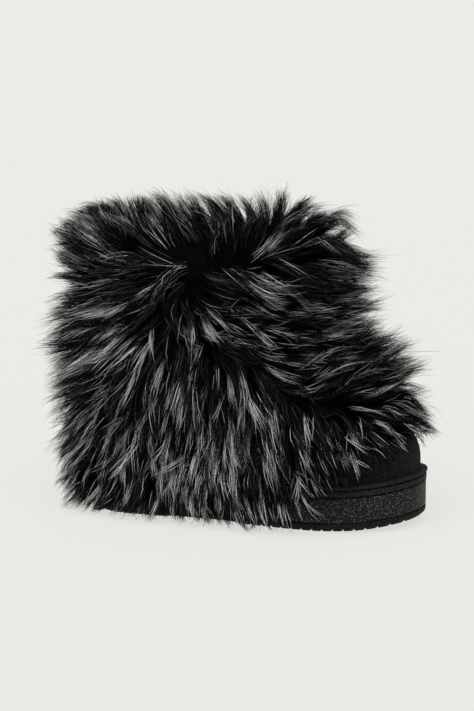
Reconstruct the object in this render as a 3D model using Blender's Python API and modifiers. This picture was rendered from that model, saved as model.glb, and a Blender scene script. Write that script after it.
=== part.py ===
"""A fur-covered apres ski boot for the right foot, at its real size in metres.

+X runs to the toe, +Y to the inner side of the foot and +Z up. The origin is the middle of the
heel's tread, on the floor. Every piece follows two functions: the sole's outline, and the ring
that the upper has at each height.
"""

import math
from collections import namedtuple

import bmesh
import bpy
from mathutils import Vector

# Sole, from the floor up
SOLE_LENGTH = 0.272
HEEL_OVERHANG = 0.036
OUTSOLE_HEIGHT = 0.0068
CUP_FLOOR = 0.0200
MIDSOLE_TOP = 0.0272
WELT_TOP = 0.0370
TOE_SPRING = 0.0070
TOE_SPRING_START = 0.155
FIT_GAP = 0.0004

# Outline of the sole. TOE_BEND moves the toe to the inner side, in front of TOE_BEND_START.
HEEL_RADIUS = 0.038
TOE_RADIUS = 0.056
END_SQUARENESS = 2.25
TOE_BEND = 0.004
TOE_BEND_START = 0.5

# Sides of the sole
TREAD_EDGE = 0.0035
MIDSOLE_EDGE = 0.0010
WELT_EDGE = 0.0010
WELT_PROUD = 0.0012
WELT_LOWER_PROUD = 0.0004
WELT_GROOVE_DEPTH = 0.0010
WELT_GROOVE_HEIGHT = 0.0320
WELT_GROOVE_MOUTH = 0.0010
WELT_GROOVE_FLOOR = 0.0003

# Tread
ARCH_RISE = 0.0024
ARCH_START = 0.030
ARCH_END = 0.098
LUG_GROOVE_WIDTH = 0.0026
LUG_GROOVE_DEPTH = 0.0034
HEEL_LUG_PITCH = 0.0090
HEEL_GROOVES = 6
FOREFOOT_LUG_PITCH = 0.0085
FOREFOOT_FIRST_GROOVE = 0.1078
FOREFOOT_GROOVES = 15

# Upper and insole
UPPER_WALL = 0.0024
COLLAR_HEIGHT = 0.205
INSOLE_THICKNESS = 0.0045
INSOLE_CLEARANCE = 0.0008
INSOLE_EDGE = 0.0012

# Pelt of the fur cover. Each RISE or FADE is the stretch on which something comes or goes: HEM_RISE in
# shares of the length, the others of the pelt in shares of its height.
FUR_LOWEST = 0.0040
HEM_HEIGHT = 0.0130
TOE_HEM_HEIGHT = 0.068
HEM_RISE = (0.62, 0.96)
PELT_THICKNESS = 0.027
PELT_HEM_THICKNESS = 0.010
PELT_RISE = (0.0, 0.25)
PELT_GAP = 0.0005
PELT_TURNED_IN = 0.0028
COLLAR_ROLL = 0.0025
SKIRT_DROP = 0.010
HEEL_THINNER = 0.26
HEEL_SPREAD = (0.2, 0.9)
TOE_THINNER = 0.56
TOE_SPREAD = (0.35, 0.95)
TOE_FADE = (0.0, 0.50)
HEM_THINNER = 0.20
HEM_FADE = (0.0, 0.20)

# Locks of the fur. FUR_ROWS is even, so that both edges of the pelt fall on rows that line up.
FUR_ROWS = 12
FUR_COLUMNS = 24
LOCK_LENGTH = 0.029
COLLAR_LOCK_LENGTH = 0.046
LOCK_TAPERS = (0.66, 0.30)
COMB_STRENGTH = 0.85
LOCK_CURL = 0.16
COLLAR_FLARE = 0.42
PARTING_HEIGHTS = (0.158, 0.206)
VAMP_START_HEIGHTS = (0.05, 0.09)
VAMP_END_HEIGHTS = (0.13, 0.17)
FORWARD_SWEEP = 0.9
VAMP_LEVELLING = 0.55
FAN = 0.45

RING_POINTS = 40
SHARP_ANGLE = 35.0

# The sole's half widths either side of its middle line, at shares of its length from the heel
Station = namedtuple("Station", "along outer inner")
SOLE_STATIONS = (
    Station(0.00, 0.0370, 0.0370),
    Station(0.16, 0.0385, 0.0370),
    Station(0.42, 0.0420, 0.0345),
    Station(0.68, 0.0530, 0.0470),
    Station(0.85, 0.0525, 0.0490),
    Station(1.00, 0.0480, 0.0480),
)

# The upper's rings. height is at the heel, and front_lift is how much higher the front lies.
# foot is the share of the sole's width, and oval blends from that to an oval of half width oval_half.
Level = namedtuple("Level", "height back_x front_x front_lift foot oval_half oval")
UPPER_LEVELS = (
    Level(0.0204, -0.0318, 0.2318, 0.000, 0.922, 0.046, 0.00),
    Level(0.0370, -0.0318, 0.2318, 0.000, 0.922, 0.046, 0.00),
    Level(0.0540, -0.0324, 0.2306, 0.000, 0.915, 0.046, 0.00),
    Level(0.0680, -0.0318, 0.2236, 0.001, 0.880, 0.046, 0.00),
    Level(0.0800, -0.0302, 0.2090, 0.002, 0.830, 0.046, 0.00),
    Level(0.0920, -0.0284, 0.1880, 0.003, 0.800, 0.047, 0.12),
    Level(0.1060, -0.0266, 0.1640, 0.004, 0.800, 0.048, 0.40),
    Level(0.1220, -0.0250, 0.1470, 0.004, 0.820, 0.050, 0.70),
    Level(0.1420, -0.0236, 0.1370, 0.002, 0.860, 0.053, 0.92),
    Level(0.1700, -0.0226, 0.1325, 0.000, 0.900, 0.056, 1.00),
    Level(COLLAR_HEIGHT, -0.0220, 0.1320, 0.000, 0.900, 0.058, 1.00),
)
UPPER_HEIGHTS = (
    0.0204, 0.0370, 0.0470, 0.0570, 0.0650, 0.0720, 0.0800, 0.0880,
    0.0970, 0.1060, 0.1160, 0.1280, 0.1420, 0.1600, 0.1820, COLLAR_HEIGHT,
)

# The fur hangs outside the sole, then follows the upper
SKIRT_LEVELS = (
    Level(0.0030, -0.0385, 0.2385, 0.000, 1.045, 0.046, 0.00),
    Level(0.0390, -0.0385, 0.2385, 0.000, 1.045, 0.046, 0.00),
)
FUR_LEVELS = SKIRT_LEVELS + UPPER_LEVELS[2:]


def smooth_step(low, high, value):
    """0 below low, 1 above high, and a smooth rise between them."""
    share = min(max((value - low) / (high - low), 0.0), 1.0)
    return share * share * (3 - 2 * share)


def through(before, start, end, after, share):
    """A smooth curve from start to end that heads for their neighbours."""
    rise, fall = (end - before) / 2, (after - start) / 2
    bend = 2 * (start - end) + rise + fall
    return start + share * (rise + share * (3 * (end - start) - 2 * rise - fall + share * bend))


def read_table(rows, place):
    """A row of the table at a place, smoothed between the rows that it has. The first column is the place."""
    last = len(rows) - 1
    index = max((k for k in range(last) if rows[k][0] <= place), default=0)
    start, end = rows[index], rows[index + 1]
    before, after = rows[max(index - 1, 0)], rows[min(index + 2, last)]
    share = min(max((place - start[0]) / (end[0] - start[0]), 0.0), 1.0)
    columns = (through(*column, share) for column in zip(before[1:], start[1:], end[1:], after[1:]))
    return type(rows[0])(place, *columns)


def rounded_end(distance, radius):
    """Share of the full width that a rounded end has at this distance from its tip."""
    short = 1 - min(max(distance / radius, 0.0), 1.0)
    return (1 - short**END_SQUARENESS) ** (1 / END_SQUARENESS)


def foot_side(along, turn):
    """How far the sole's outline is to the inner side (+) or outer side (-) at a share of its length."""
    station = read_table(SOLE_STATIONS, along)
    width = station.inner if math.sin(turn) > 0 else -station.outer
    width *= rounded_end(along * SOLE_LENGTH, HEEL_RADIUS)
    width *= rounded_end((1 - along) * SOLE_LENGTH, TOE_RADIUS)
    return width + TOE_BEND * smooth_step(TOE_BEND_START, 1.0, along)


def toe_spring(x):
    """How far the sole and the foot part of the upper rise towards the toe."""
    share = max(x - TOE_SPRING_START, 0.0) / (SOLE_LENGTH - HEEL_OVERHANG - TOE_SPRING_START)
    return TOE_SPRING * share * share


def level_point(level, turn):
    """A point of a ring. turn is 0 at the toe, a quarter turn at the inner side and a half turn at the heel."""
    along = (1 + math.cos(turn)) / 2
    x = level.back_x + (level.front_x - level.back_x) * along
    foot = foot_side(along, turn) * level.foot
    y = foot + (math.sin(turn) * level.oval_half - foot) * level.oval
    return Vector((x, y, level.height + level.front_lift * along + toe_spring(x)))


def turns(count=RING_POINTS, shift=0.0):
    return [2 * math.pi * (index + shift) / count for index in range(count)]


def sole_ring(height, grow=0.0):
    """The sole's outline at a height, moved out by grow."""
    level = Level(height, -HEEL_OVERHANG, SOLE_LENGTH - HEEL_OVERHANG, 0.0, 1.0, 0.0, 0.0)
    return grown([level_point(level, turn) for turn in turns()], grow)


def cup_ring(height, grow=0.0):
    """The upper's outline where it stands in the cup of the sole, moved out by grow."""
    level = UPPER_LEVELS[0]._replace(height=height)
    return grown([level_point(level, turn) for turn in turns()], grow)


def grown(ring, grow):
    """A ring moved out level by the same distance all round."""
    moved = []
    for index, point in enumerate(ring):
        step = ring[(index + 1) % len(ring)] - ring[index - 1]
        moved.append(point + Vector((step.y, -step.x, 0.0)).normalized() * grow)
    return moved


def make_object(name, mesh, collection, material=None):
    obj = bpy.data.objects.new(name, mesh)
    collection.objects.link(obj)
    if material:
        mesh.materials.append(material)
    return obj


def finished_mesh(bm, name):
    bmesh.ops.recalc_face_normals(bm, faces=bm.faces)
    mesh = bpy.data.meshes.new(name)
    bm.to_mesh(mesh)
    bm.free()
    mesh.shade_smooth()
    mesh.set_sharp_from_angle(angle=math.radians(SHARP_ANGLE))
    return mesh


def add_walls(bm, rows, closed=False):
    """Quads between rings of vertices. A closed stack joins its last ring to its first."""
    pairs = list(zip(rows, rows[1:])) + ([(rows[-1], rows[0])] if closed else [])
    for low, high in pairs:
        for index in range(len(low)):
            after = (index + 1) % len(low)
            bm.faces.new((low[index], low[after], high[after], high[index]))


def add_cap(bm, ring):
    """Closes a ring with strips across the foot, each as level as the sole's curve allows."""
    count = len(ring)
    bm.faces.new((ring[0], ring[1], ring[-1]))
    for index in range(1, count // 2 - 1):
        bm.faces.new((ring[index], ring[index + 1], ring[count - index - 1], ring[count - index]))
    bm.faces.new((ring[count // 2 - 1], ring[count // 2], ring[count // 2 + 1]))


def stack(name, rings, capped=True, closed=False):
    """A mesh lofted through rings of points."""
    bm = bmesh.new()
    rows = [[bm.verts.new(point) for point in ring] for ring in rings]
    add_walls(bm, rows, closed)
    if capped:
        add_cap(bm, rows[0])
        add_cap(bm, rows[-1])
    return finished_mesh(bm, name)


def finish(name, colour, roughness):
    material = bpy.data.materials.new(name)
    material.use_nodes = True
    shader = material.node_tree.nodes["Principled BSDF"]
    shader.inputs["Base Color"].default_value = (*colour, 1.0)
    shader.inputs["Roughness"].default_value = roughness
    shader.inputs["Metallic"].default_value = 0.0
    return material


def arch(x):
    """How far the tread is off the floor in the waist of the sole."""
    if not ARCH_START < x < ARCH_END:
        return 0.0
    return ARCH_RISE * math.sin(math.pi * (x - ARCH_START) / (ARCH_END - ARCH_START))


def lug_cutters(collection):
    """Bars across the tread, one for each groove, as one mesh."""
    heel_first = -HEEL_LUG_PITCH * (HEEL_GROOVES - 1) / 2
    places = [heel_first + HEEL_LUG_PITCH * index for index in range(HEEL_GROOVES)]
    places += [FOREFOOT_FIRST_GROOVE + FOREFOOT_LUG_PITCH * index for index in range(FOREFOOT_GROOVES)]
    bm = bmesh.new()
    for x in places:
        top = LUG_GROOVE_DEPTH + toe_spring(x)
        bottom = -LUG_GROOVE_DEPTH
        bar = bmesh.ops.create_cube(bm, size=1.0)["verts"]
        bmesh.ops.scale(bm, verts=bar, vec=(LUG_GROOVE_WIDTH, SOLE_LENGTH, top - bottom))
        bmesh.ops.translate(bm, verts=bar, vec=(x, 0.0, (top + bottom) / 2))
    cutter = make_object("lug_groove_cutter", finished_mesh(bm, "lug_groove_cutter"), collection)
    cutter.display_type = "WIRE"
    cutter.hide_render = True
    return cutter


def make_outsole(parts, cutters, rubber):
    tread = sole_ring(0.0, -TREAD_EDGE)
    for point in tread:
        point.z += arch(point.x)
    rings = (tread, sole_ring(TREAD_EDGE), sole_ring(OUTSOLE_HEIGHT - FIT_GAP))
    outsole = make_object("outsole", stack("outsole", rings), parts, rubber)
    groove = outsole.modifiers.new("lug_grooves", "BOOLEAN")
    groove.operation = "DIFFERENCE"
    groove.solver = "EXACT"
    groove.object = lug_cutters(cutters)
    return outsole


def make_midsole(parts, crumb_rubber):
    """The thick platform, a cup whose floor the upper and the insole stand on."""
    rings = (
        sole_ring(OUTSOLE_HEIGHT),
        sole_ring(MIDSOLE_TOP - MIDSOLE_EDGE),
        sole_ring(MIDSOLE_TOP, -MIDSOLE_EDGE),
        cup_ring(MIDSOLE_TOP, FIT_GAP),
        cup_ring(CUP_FLOOR, FIT_GAP),
    )
    return make_object("midsole", stack("midsole", rings), parts, crumb_rubber)


def make_welt(parts, rubber):
    """The rubber band round the foot of the upper, stepped by one groove."""
    lower = MIDSOLE_TOP + FIT_GAP
    rings = (
        cup_ring(lower, FIT_GAP),
        sole_ring(lower, WELT_LOWER_PROUD - WELT_EDGE),
        sole_ring(lower + WELT_EDGE, WELT_LOWER_PROUD),
        sole_ring(WELT_GROOVE_HEIGHT - WELT_GROOVE_MOUTH, WELT_LOWER_PROUD),
        sole_ring(WELT_GROOVE_HEIGHT - WELT_GROOVE_FLOOR, -WELT_GROOVE_DEPTH),
        sole_ring(WELT_GROOVE_HEIGHT + WELT_GROOVE_FLOOR, -WELT_GROOVE_DEPTH),
        sole_ring(WELT_GROOVE_HEIGHT + WELT_GROOVE_MOUTH, WELT_PROUD),
        sole_ring(WELT_TOP - WELT_EDGE, WELT_PROUD),
        sole_ring(WELT_TOP, WELT_PROUD - WELT_EDGE),
        cup_ring(WELT_TOP, FIT_GAP),
    )
    return make_object("welt", stack("welt", rings, capped=False, closed=True), parts, rubber)


def make_upper(parts, suede):
    """One hollow shell of foot and shaft, open at the collar and underneath."""
    levels = [read_table(UPPER_LEVELS, height) for height in UPPER_HEIGHTS]
    rings = [[level_point(level, turn) for turn in turns()] for level in levels]
    upper = make_object("upper", stack("upper", rings, capped=False), parts, suede)
    wall = upper.modifiers.new("wall", "SOLIDIFY")
    wall.thickness = UPPER_WALL
    wall.offset = -1.0
    wall.use_even_offset = True
    return upper


def make_insole(parts, felt):
    inside = -(UPPER_WALL + INSOLE_CLEARANCE)
    bottom = CUP_FLOOR + FIT_GAP
    rings = (
        cup_ring(bottom, inside),
        cup_ring(bottom + INSOLE_THICKNESS - INSOLE_EDGE, inside),
        cup_ring(bottom + INSOLE_THICKNESS, inside - INSOLE_EDGE),
    )
    return make_object("insole", stack("insole", rings), parts, felt)


def hem_height(turn):
    """The height where the fur cover starts: just off the floor, and above the bare toe cap in front."""
    along = (1 + math.cos(turn)) / 2
    return HEM_HEIGHT + (TOE_HEM_HEIGHT - HEM_HEIGHT) * smooth_step(*HEM_RISE, along)


def backing_point(turn, height):
    return level_point(read_table(FUR_LEVELS, height), turn)


def outward(turn, height):
    """The direction square to what backs the fur."""
    little_turn, little_rise = 0.02, 0.002
    round_the_boot = backing_point(turn + little_turn, height) - backing_point(turn - little_turn, height)
    low, high = max(height - little_rise, HEM_HEIGHT), min(height + little_rise, COLLAR_HEIGHT)
    up = backing_point(turn, high) - backing_point(turn, low)
    return round_the_boot.cross(up).normalized()


def combed(turn, height):
    """The way that the hair is brushed: down and fanned out, forward on the vamp, and up at the collar."""
    facing = math.cos(turn)
    vamp = max(facing, 0.0) * smooth_step(*VAMP_START_HEIGHTS, height)
    vamp *= 1 - smooth_step(*VAMP_END_HEIGHTS, height)
    upright = 2 * smooth_step(*PARTING_HEIGHTS, height) - 1
    fan = FAN * facing * math.sin(turn) ** 2
    return Vector((FORWARD_SWEEP * vamp + fan, 0.0, upright * (1 - VAMP_LEVELLING * vamp)))


def fullness(turn, share):
    """The depth of the fur against its depth on the shaft. It thins at the heel, and most at the toe's hem."""
    facing = math.cos(turn)
    heel = smooth_step(*HEEL_SPREAD, -facing)
    toe = smooth_step(*TOE_SPREAD, facing) * (1 - smooth_step(*TOE_FADE, share))
    hem = 1 - smooth_step(*HEM_FADE, share)
    return (1 - HEEL_THINNER * heel - TOE_THINNER * toe) * (1 - HEM_THINNER * hem)


def boot_core(collection):
    """The sole and the upper, filled and a little larger, as the room inside the fur cover."""
    beside_the_sole = WELT_PROUD + FIT_GAP
    rings = [sole_ring(-SKIRT_DROP, beside_the_sole), sole_ring(WELT_TOP + FIT_GAP, beside_the_sole)]
    for height in UPPER_HEIGHTS[2:]:
        level = read_table(UPPER_LEVELS, height)
        rings.append(grown([level_point(level, turn) for turn in turns()], PELT_GAP))
    rings.append([point + Vector((0.0, 0.0, FIT_GAP)) for point in rings[-1]])
    core = make_object("boot_core_cutter", stack("boot_core_cutter", rings), collection)
    core.display_type = "WIRE"
    core.hide_render = True
    return core


def make_fur_cover(parts, cutters, fur):
    """A pelt round the boot in staggered diamonds, each of them drawn out into a lock."""
    bm = bmesh.new()
    skin_rows, coat_rows = [], []
    places = {}
    for row in range(FUR_ROWS + 1):
        share = row / FUR_ROWS
        skin, coat = [], []
        for turn in turns(FUR_COLUMNS, (row % 2) / 2):
            hem = hem_height(turn)
            height = hem + (COLLAR_HEIGHT - hem) * share
            thickness = PELT_HEM_THICKNESS
            thickness += (PELT_THICKNESS - PELT_HEM_THICKNESS) * smooth_step(*PELT_RISE, share)
            thickness *= fullness(turn, share)
            out = outward(turn, height)
            roll = Vector((0.0, 0.0, COLLAR_ROLL)) if row == FUR_ROWS else Vector()
            skin.append(bm.verts.new(backing_point(turn, height) - out * PELT_TURNED_IN + roll))
            coat.append(bm.verts.new(backing_point(turn, height) + out * thickness))
            places[coat[-1]] = (turn, height, share)
        skin_rows.append(skin)
        coat_rows.append(coat)
    coat_faces = diamonds(bm, coat_rows)
    diamonds(bm, skin_rows)
    add_walls(bm, (skin_rows[0], coat_rows[0]))
    crown = len(bm.faces)
    add_walls(bm, (coat_rows[-1], skin_rows[-1]))
    bm.faces.ensure_lookup_table()
    crown_faces = bm.faces[crown:]
    bmesh.ops.recalc_face_normals(bm, faces=bm.faces)
    for face in coat_faces:
        around, heights, shares = zip(*(places[vertex] for vertex in face.verts))
        turn, height = middle_turn(around), sum(heights) / len(heights)
        brushed = combed(turn, height)
        length = LOCK_LENGTH * fullness(turn, sum(shares) / len(shares))
        away = (outward(turn, height) + COMB_STRENGTH * brushed).normalized()
        draw_lock(bm, face, away * length, brushed * length * LOCK_CURL)
    for face in crown_faces:
        turn = middle_turn([places[vertex][0] for vertex in face.verts if vertex in places])
        away = Vector((0.0, 0.0, 1.0)) + COLLAR_FLARE * outward(turn, COLLAR_HEIGHT)
        draw_lock(bm, face, away.normalized() * COLLAR_LOCK_LENGTH, Vector())
    cover = make_object("fur_cover", finished_mesh(bm, "fur_cover"), parts, fur)
    inside = cover.modifiers.new("room_for_the_boot", "BOOLEAN")
    inside.operation = "DIFFERENCE"
    inside.solver = "EXACT"
    inside.object = boot_core(cutters)
    return cover


def middle_turn(around):
    """The mean of turns that lie close together, also across the toe where they start again."""
    return math.atan2(sum(map(math.sin, around)), sum(map(math.cos, around)))


def diamonds(bm, rows):
    """Covers staggered rows of vertices with diamonds, and with triangles along both edges."""
    faces = []
    count = len(rows[0])
    for index in range(count):
        after = (index + 1) % count
        faces.append(bm.faces.new((rows[0][index], rows[0][after], rows[1][index])))
        faces.append(bm.faces.new((rows[-1][after], rows[-1][index], rows[-2][index])))
    for row in range(len(rows) - 2):
        for index in range(count):
            left = (index - 1) % count if row % 2 == 0 else index
            right = index if row % 2 == 0 else (index + 1) % count
            bottom, top = rows[row][index], rows[row + 2][index]
            faces.append(bm.faces.new((bottom, rows[row + 1][right], top, rows[row + 1][left])))
    return faces


def draw_lock(bm, face, reach, curl):
    """Draws one face out in steps, into a tapered lock that bends towards its tip."""
    step = reach / len(LOCK_TAPERS) + curl
    for taper in LOCK_TAPERS:
        face = bmesh.ops.extrude_discrete_faces(bm, faces=[face])["faces"][0]
        middle = face.calc_center_median()
        corners = [middle + (vertex.co - middle) * taper + step for vertex in face.verts]
        lift = max(FUR_LOWEST - min(corner.z for corner in corners), 0.0)
        for vertex, corner in zip(face.verts, corners):
            vertex.co = corner + Vector((0.0, 0.0, lift))


def main():
    for obj in list(bpy.data.objects):
        bpy.data.objects.remove(obj)
    parts = bpy.data.collections.new("apres_ski_boot")
    cutters = bpy.data.collections.new("cutters")
    for collection in (parts, cutters):
        bpy.context.scene.collection.children.link(collection)
    rubber = finish("black_rubber", (0.018, 0.018, 0.019), 0.62)
    crumb_rubber = finish("crumb_rubber", (0.020, 0.020, 0.021), 0.75)
    suede = finish("black_suede", (0.014, 0.014, 0.015), 0.92)
    fur = finish("silver_tipped_fur", (0.045, 0.044, 0.045), 0.80)
    felt = finish("insole_felt", (0.030, 0.030, 0.032), 0.95)
    make_outsole(parts, cutters, rubber)
    make_midsole(parts, crumb_rubber)
    make_welt(parts, rubber)
    make_upper(parts, suede)
    make_insole(parts, felt)
    make_fur_cover(parts, cutters, fur)


main()
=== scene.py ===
# %% [markdown]
# # A fur-covered apres ski boot
#
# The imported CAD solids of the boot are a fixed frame: outsole, midsole, welt, upper, insole and fur cover.
# This notebook gives each of them the surface of the real thing. Suede, rubber and felt are finer copies
# of the same forms, and the long fur is made of locks of single hairs.
# Every size is in metres. +X runs to the toe, +Y to the inner side of a right foot, and +Z is up.

import math
from collections import namedtuple

import bmesh
import bpy
import numpy as np
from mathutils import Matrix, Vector
from mathutils.kdtree import KDTree


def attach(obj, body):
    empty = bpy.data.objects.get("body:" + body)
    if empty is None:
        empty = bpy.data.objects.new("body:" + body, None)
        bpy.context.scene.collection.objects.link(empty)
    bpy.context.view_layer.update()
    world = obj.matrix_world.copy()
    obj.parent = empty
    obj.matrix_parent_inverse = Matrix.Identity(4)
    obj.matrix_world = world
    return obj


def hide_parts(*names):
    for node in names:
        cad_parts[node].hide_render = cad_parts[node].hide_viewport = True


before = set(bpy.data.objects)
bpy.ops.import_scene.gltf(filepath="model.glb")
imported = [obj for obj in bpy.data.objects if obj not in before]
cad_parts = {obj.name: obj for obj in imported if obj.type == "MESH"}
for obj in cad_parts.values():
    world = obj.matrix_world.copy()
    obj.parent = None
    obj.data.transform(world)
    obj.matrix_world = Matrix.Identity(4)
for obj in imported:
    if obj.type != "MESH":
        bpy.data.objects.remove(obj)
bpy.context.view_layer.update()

# %% [markdown]
# ## The form of the boot
#
# A last maker describes a boot by its sole outline and by rings at set heights. The same two tables that
# made the CAD solids are repeated here, because the finer pieces have to keep that form.

# %% Sizes and tables of the boot
SOLE_LENGTH = 0.272
HEEL_OVERHANG = 0.036
OUTSOLE_HEIGHT = 0.0068
CUP_FLOOR = 0.0200
MIDSOLE_TOP = 0.0272
WELT_TOP = 0.0370
TOE_SPRING = 0.0070
TOE_SPRING_START = 0.155
FIT_GAP = 0.0004
HEEL_RADIUS = 0.038
TOE_RADIUS = 0.056
END_SQUARENESS = 2.25
TOE_BEND = 0.004
UPPER_WALL = 0.0024
COLLAR_HEIGHT = 0.205

Station = namedtuple("Station", "along outer inner")
SOLE_STATIONS = (
    Station(0.00, 0.0370, 0.0370),
    Station(0.16, 0.0385, 0.0370),
    Station(0.42, 0.0420, 0.0345),
    Station(0.68, 0.0530, 0.0470),
    Station(0.85, 0.0525, 0.0490),
    Station(1.00, 0.0480, 0.0480),
)

Level = namedtuple("Level", "height back_x front_x front_lift foot oval_half oval")
UPPER_LEVELS = (
    Level(0.0204, -0.0318, 0.2318, 0.000, 0.922, 0.046, 0.00),
    Level(0.0370, -0.0318, 0.2318, 0.000, 0.922, 0.046, 0.00),
    Level(0.0540, -0.0324, 0.2306, 0.000, 0.915, 0.046, 0.00),
    Level(0.0680, -0.0318, 0.2236, 0.001, 0.880, 0.046, 0.00),
    Level(0.0800, -0.0302, 0.2090, 0.002, 0.830, 0.046, 0.00),
    Level(0.0920, -0.0284, 0.1880, 0.003, 0.800, 0.047, 0.12),
    Level(0.1060, -0.0266, 0.1640, 0.004, 0.800, 0.048, 0.40),
    Level(0.1220, -0.0250, 0.1470, 0.004, 0.820, 0.050, 0.70),
    Level(0.1420, -0.0236, 0.1370, 0.002, 0.860, 0.053, 0.92),
    Level(0.1700, -0.0226, 0.1325, 0.000, 0.900, 0.056, 1.00),
    Level(COLLAR_HEIGHT, -0.0220, 0.1320, 0.000, 0.900, 0.058, 1.00),
)
SKIRT_LEVELS = (
    Level(0.0030, -0.0385, 0.2385, 0.000, 1.045, 0.046, 0.00),
    Level(0.0390, -0.0385, 0.2385, 0.000, 1.045, 0.046, 0.00),
)
FUR_LEVELS = SKIRT_LEVELS + UPPER_LEVELS[2:]
print("rings of the upper:", len(UPPER_LEVELS), "and of the fur's skin:", len(FUR_LEVELS))

# %% [markdown]
# Between the rows of a table the form follows a smooth curve. Blender could bend a spline through them,
# but the hairs later ask for a hundred thousand places of the skin. So the curves are worked out here,
# for whole arrays at once.


# %% Curves through the tables
def smooth_step(low, high, value):
    """0 below low, 1 above high, and a smooth rise between them."""
    share = np.clip((np.asarray(value, float) - low) / (high - low), 0.0, 1.0)
    return share * share * (3 - 2 * share)


def read_table(rows, place):
    """The columns of a table at any places, smoothed between the rows that it has."""
    rows = np.array(rows)
    place = np.asarray(place, float)
    last = len(rows) - 1
    index = np.clip(np.searchsorted(rows[:, 0], place, side="right") - 1, 0, last - 1)
    start, end = rows[index], rows[index + 1]
    share = np.clip((place - start[..., 0]) / (end[..., 0] - start[..., 0]), 0.0, 1.0)[..., None]
    before, after = rows[np.maximum(index - 1, 0)], rows[np.minimum(index + 2, last)]
    start, end, before, after = (part[..., 1:] for part in (start, end, before, after))
    rise, fall = (end - before) / 2, (after - start) / 2
    bend = 2 * (start - end) + rise + fall
    return start + share * (rise + share * (3 * (end - start) - 2 * rise - fall + share * bend))


def rounded_end(distance, radius):
    """Share of the full width that a rounded end has at this distance from its tip."""
    short = 1 - np.clip(distance / radius, 0.0, 1.0)
    return (1 - short**END_SQUARENESS) ** (1 / END_SQUARENESS)


def foot_side(along, turn):
    """The sole's outline to the inner side (+) or outer side (-) at a share of its length."""
    station = read_table(SOLE_STATIONS, along)
    width = np.where(np.sin(turn) > 0, station[..., 1], -station[..., 0])
    width = width * rounded_end(along * SOLE_LENGTH, HEEL_RADIUS)
    width = width * rounded_end((1 - along) * SOLE_LENGTH, TOE_RADIUS)
    return width + TOE_BEND * smooth_step(0.5, 1.0, along)


def toe_spring(x):
    share = np.maximum(x - TOE_SPRING_START, 0.0) / (SOLE_LENGTH - HEEL_OVERHANG - TOE_SPRING_START)
    return TOE_SPRING * share * share


def boot_point(levels, turn, height):
    """Points on the boot. The turn starts at the toe and passes the inner side, then the heel."""
    turn, height = np.broadcast_arrays(turn, np.asarray(height, float))
    level = read_table(levels, height)
    back_x, front_x, front_lift, foot, oval_half, oval = np.moveaxis(level, -1, 0)
    along = (1 + np.cos(turn)) / 2
    x = back_x + (front_x - back_x) * along
    side = foot_side(along, turn) * foot
    y = side + (np.sin(turn) * oval_half - side) * oval
    return np.stack([x, y, height + front_lift * along + toe_spring(x)], axis=-1)


def turns(count):
    return np.arange(count) * 2 * np.pi / count


def grown(ring, grow):
    """A ring moved out level by the same distance all round."""
    step = np.roll(ring, -1, axis=0) - np.roll(ring, 1, axis=0)
    out = np.stack([step[:, 1], -step[:, 0]], axis=-1)
    moved = ring.copy()
    moved[:, :2] += out / np.linalg.norm(out, axis=1, keepdims=True) * grow
    return moved


SOLE_POINTS = 176
SOLE_LEVEL = Level(0.0, -HEEL_OVERHANG, SOLE_LENGTH - HEEL_OVERHANG, 0.0, 1.0, 0.0, 0.0)


def sole_ring(height, grow=0.0):
    rows = (SOLE_LEVEL._replace(height=height), SOLE_LEVEL._replace(height=height + 1.0))
    return grown(boot_point(rows, turns(SOLE_POINTS), height), grow)


def cup_ring(height, grow=0.0):
    """The upper's outline where it stands in the cup of the sole."""
    rows = (UPPER_LEVELS[0]._replace(height=height), UPPER_LEVELS[0]._replace(height=height + 1.0))
    return grown(boot_point(rows, turns(SOLE_POINTS), height), grow)


ball_ring = sole_ring(0.0)
print("sole outline in mm:", np.round((ball_ring.max(0) - ball_ring.min(0)) * 1000, 1))

# %% [markdown]
# ## Camera, light and floor
#
# The photo was taken with a long lens from a little above, with the toe turned slightly to the camera.
# A long lens keeps the boot's proportions, so the camera stands three metres off. Its place follows from
# the two angles and from the middle of the picture, so either can be changed alone.

# %% Camera
PHOTO_HEIGHT = 711
PIXEL_SIZE = 0.0007985
CAMERA_AZIMUTH = math.radians(18.0)
CAMERA_ELEVATION = math.radians(10.5)
CAMERA_DISTANCE = 3.0
SENSOR = 0.036
# The middle of the picture, as distances to the right, up and away along the camera's own directions
PICTURE_MIDDLE = Vector((0.07735, 0.12124, -0.0648))

right = Vector((math.cos(CAMERA_AZIMUTH), math.sin(CAMERA_AZIMUTH), 0.0))
level_away = Vector((-math.sin(CAMERA_AZIMUTH), math.cos(CAMERA_AZIMUTH), 0.0))
away = level_away * math.cos(CAMERA_ELEVATION) - Vector((0, 0, math.sin(CAMERA_ELEVATION)))
upward = right.cross(away)

camera_data = bpy.data.cameras.new("studio_camera")
camera_data.sensor_fit = "VERTICAL"
camera_data.sensor_height = SENSOR * 1000
camera_data.lens = SENSOR * 1000 * CAMERA_DISTANCE / (PHOTO_HEIGHT * PIXEL_SIZE)
camera_data.clip_end = 100.0
camera = bpy.data.objects.new("studio_camera", camera_data)
bpy.context.scene.collection.objects.link(camera)
aim = right * PICTURE_MIDDLE.x + upward * PICTURE_MIDDLE.y + away * PICTURE_MIDDLE.z
camera.location = aim - away * CAMERA_DISTANCE
camera.rotation_euler = away.to_track_quat("-Z", "Y").to_euler()
bpy.context.scene.camera = camera
print("lens in mm:", round(camera_data.lens, 1))
print("camera at:", [round(value, 3) for value in camera.location])

# %% [markdown]
# A sun of a wide angle acts as a large soft box, and a pale world fills the shadows. A weak sun from the
# camera's side, which casts no shadow, lifts the near face. In the photo the floor is one even tone with
# hardly any shadow. So the floor is plain paper that gives some light of its own, which keeps the boot's
# shadow faint. It runs past the picture's edges, so that no horizon shows.

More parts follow.
